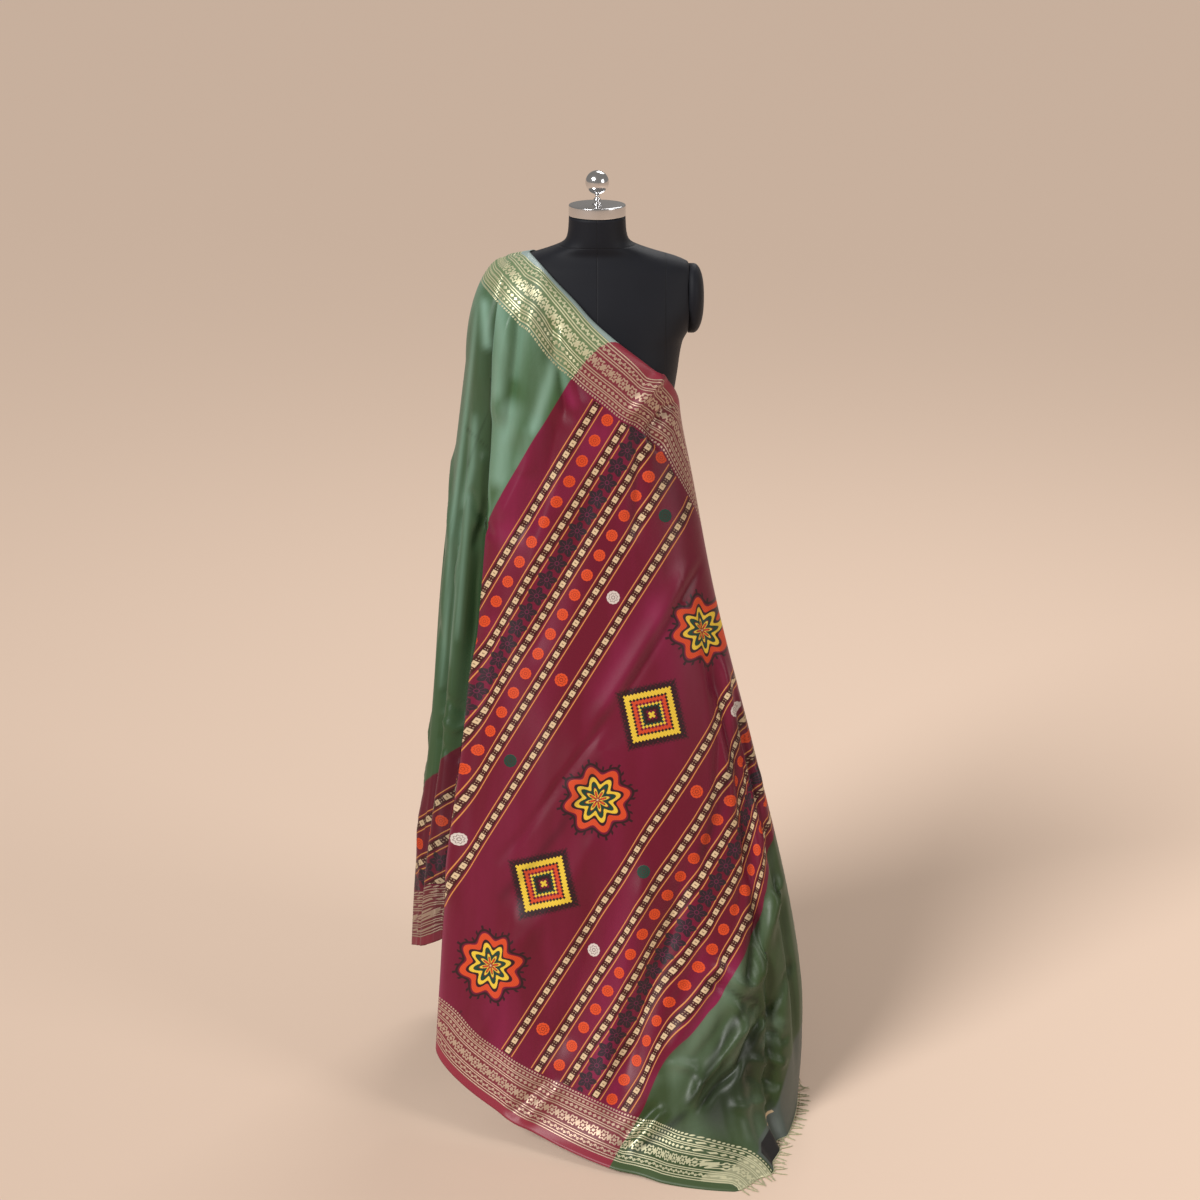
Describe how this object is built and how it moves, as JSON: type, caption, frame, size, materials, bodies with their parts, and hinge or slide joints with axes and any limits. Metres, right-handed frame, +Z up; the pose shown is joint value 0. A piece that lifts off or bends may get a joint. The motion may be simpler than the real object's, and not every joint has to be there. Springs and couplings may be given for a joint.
{
  "type": "silk saree on a dress form",
  "caption": "Silk saree draped over the left shoulder of a limbless dress form, its wide patterned end spread down the front to a fringed corner on the floor.",
  "frame": {"origin": "centre of the underside of the stand's round base, on the floor", "axes": "+Z up along the stand's pole, -Y out of the front of the form, +X to the viewer's right"},
  "size_m": [0.7814, 0.7992, 1.743],
  "materials": {
    "pallu_silk": "maroon silk with woven stripes and metallic thread borders, soft sheen",
    "body_silk": "green shot silk with a silvery sheen",
    "fringe_thread": "knotted silk thread, matte",
    "form_cloth": "black stretch cloth, matte",
    "chrome": "polished",
    "painted_steel": "satin black"
  },
  "bodies": {
    "root": {"front_drape": "pallu_silk", "right_return": "pallu_silk", "left_fall": "body_silk", "shoulder_wrap": "body_silk", "back_fall": "body_silk", "end_fringe": "fringe_thread", "torso": "form_cloth", "arm_plate_right": "form_cloth", "arm_plate_left": "form_cloth", "neck_cap": "chrome", "finial": "chrome", "pole": "chrome", "stand_base": "painted_steel"}
  },
  "joints": []
}
